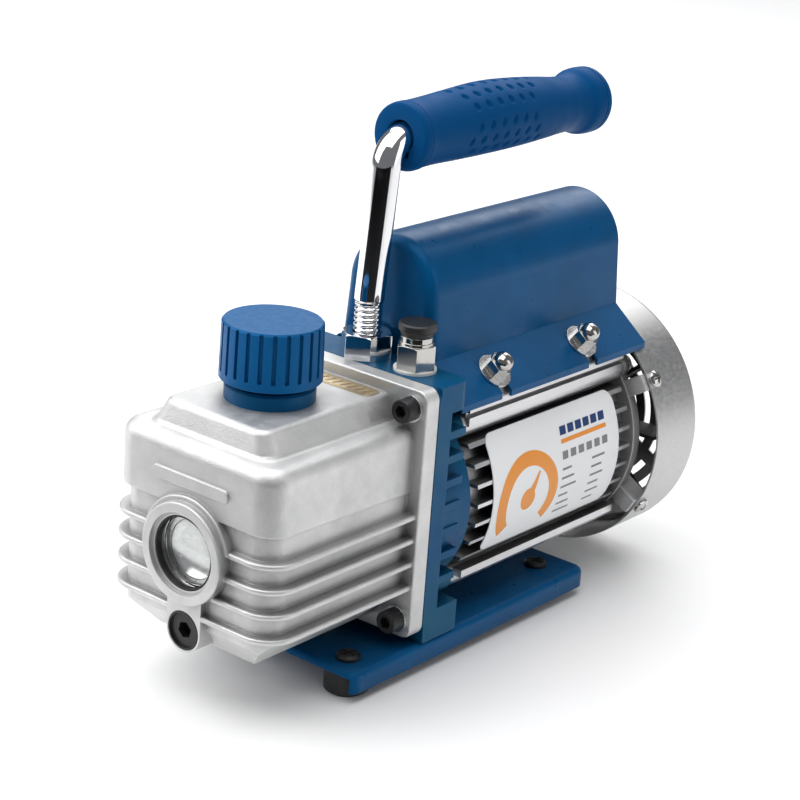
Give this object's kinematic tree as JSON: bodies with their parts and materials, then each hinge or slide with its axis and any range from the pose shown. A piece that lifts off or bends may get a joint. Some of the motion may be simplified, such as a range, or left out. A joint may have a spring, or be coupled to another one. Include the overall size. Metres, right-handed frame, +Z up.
{
  "type": "rotary vane vacuum pump",
  "caption": "Oil-sealed rotary vane vacuum pump with a finned oil tank, sight glass, carrying handle, flanged base and a fan-cooled motor driving the rotor directly.",
  "frame": {"origin": "centre of the plan outline, on the plane the rubber feet stand on", "axes": "+X to the right seen from the sight glass, +Y from the sight glass to the fan along the shaft, +Z up"},
  "size_m": [0.123, 0.2888, 0.2399],
  "materials": {
    "blue_paint": "semi-gloss paint on sheet metal",
    "blue_cast": "semi-gloss paint on an aluminium casting",
    "cast_metal": "fine bead-blasted casting",
    "extruded_metal": "matt extrusion",
    "satin_metal": "satin drawn sheet",
    "chrome": "bright chrome plate",
    "nickel": "nickel plate",
    "zinc_steel": "zinc-plated steel",
    "black_steel": "black oxide screws",
    "black_plastic": "matt moulded plastic",
    "black_rubber": "matt rubber",
    "grip_rubber": "soft matt rubber",
    "cap_plastic": "fine-textured moulded plastic",
    "neck_plastic": "moulded plastic",
    "white_nylon": "nylon washer",
    "clear_glass": "polished lens",
    "foil": "plain gold-coloured foil",
    "label_face": null,
    "gasket": "thin sealing sheet",
    "machined_steel": "machined steel",
    "cast_iron": "machined cast iron",
    "core_steel": "laminated steel",
    "copper": "varnished copper wire",
    "brass": "plain brass",
    "vane": "phenolic composite",
    "capacitor": "plain drawn can"
  },
  "bodies": {
    "frame": {"base_channel": "blue_paint", "rubber_feet": "black_rubber", "base_screws": "black_steel", "bracket_screws": "black_steel", "oil_tank": "cast_metal", "tank_gasket": "gasket", "tank_screws": "black_steel", "tank_washers": "zinc_steel", "sight_glass": "clear_glass", "sight_o_ring": "black_rubber", "filler_neck": "neck_plastic", "tank_sticker": "foil", "pump_bracket": "blue_cast", "shaft_seal": "black_rubber", "handle_rod": "chrome", "handle_nut": "chrome", "handle_grip": "grip_rubber", "intake_washer": "white_nylon", "intake_fitting": "nickel", "inlet_filter": "brass", "capacitor_cover": "blue_paint", "cover_end_plate": "blue_paint", "cover_studs": "zinc_steel", "cover_washers": "zinc_steel", "acorn_nuts": "nickel", "power_inlet": "black_plastic", "inlet_pins": "brass", "switch_frame": "black_plastic", "run_capacitor": "capacitor", "capacitor_clamp": "zinc_steel", "motor_housing": "extruded_metal", "rating_label": "label_face", "stator_core": "core_steel", "stator_windings": "copper", "ball_bearings": "machined_steel", "rear_end_shield": "cast_metal", "tie_bolts": "zinc_steel", "fan_cover": "satin_metal", "fan_cover_screws": "nickel", "pump_cylinder": "cast_iron", "pump_front_cover": "cast_iron", "pump_rear_cover": "cast_iron", "pump_screws": "black_steel", "reed_stop": "machined_steel", "reed_screws": "zinc_steel"},
    "rotor": {"motor_rotor": "core_steel", "motor_shaft": "machined_steel", "cooling_fan": "black_plastic", "shaft_coupling": "machined_steel", "pump_rotor": "machined_steel", "vane_springs": "machined_steel"},
    "vane_a": {"rotor_vane_a": "vane"},
    "vane_b": {"rotor_vane_b": "vane"},
    "cap_lift": {"cap_seal": "black_rubber"},
    "cap": {"filler_cap": "cap_plastic"},
    "drain_lift": {"drain_o_ring": "black_rubber"},
    "drain": {"drain_plug": "black_steel"},
    "dust_cap": {"intake_dust_cap": "black_plastic"},
    "rocker": {"switch_rocker": "black_plastic"},
    "reed": {"exhaust_reed": "machined_steel"}
  },
  "joints": [
    {"name": "shaft_spin", "type": "hinge", "parent": "frame", "child": "rotor", "pos_m": [0, 0, 0.068], "axis": [0, 1, 0], "continuous": true},
    {"name": "vane_a_slide", "type": "slide", "parent": "rotor", "child": "vane_a", "axis": [1, 0, 0], "range_m": [0, 0.0024]},
    {"name": "vane_b_slide", "type": "slide", "parent": "rotor", "child": "vane_b", "axis": [-1, 0, 0], "range_m": [0, 0.0024]},
    {"name": "cap_lift", "type": "slide", "parent": "frame", "child": "cap_lift", "axis": [0, 0, 1], "range_m": [0, 0.016]},
    {"name": "cap_turn", "type": "hinge", "parent": "cap_lift", "child": "cap", "pos_m": [0, -0.0956, 0.145], "axis": [0, 0, 1], "range_deg": [0, 1440]},
    {"name": "drain_lift", "type": "slide", "parent": "frame", "child": "drain_lift", "axis": [0, -1, 0], "range_m": [0, 0.009]},
    {"name": "drain_turn", "type": "hinge", "parent": "drain_lift", "child": "drain", "pos_m": [0, -0.1355, 0.0339], "axis": [0, -1, 0], "range_deg": [0, 2160]},
    {"name": "dust_cap_pull", "type": "slide", "parent": "frame", "child": "dust_cap", "axis": [0, 0, 1], "range_m": [0, 0.02]},
    {"name": "switch_rock", "type": "hinge", "parent": "frame", "child": "rocker", "pos_m": [0, 0.1105, 0.167], "axis": [1, 0, 0], "range_deg": [0, 18]},
    {"name": "reed_lift", "type": "hinge", "parent": "frame", "child": "reed", "pos_m": [-0.01, -0.0846, 0.0972], "axis": [1, 0, 0], "range_deg": [0, 8], "stiffness_Nm_per_rad": 0.02}
  ],
  "couplings": [
    {"joint": "cap_lift", "follows": "cap_turn", "m_per_rad": 0.00063662},
    {"joint": "drain_lift", "follows": "drain_turn", "m_per_rad": 0.00023873}
  ]
}
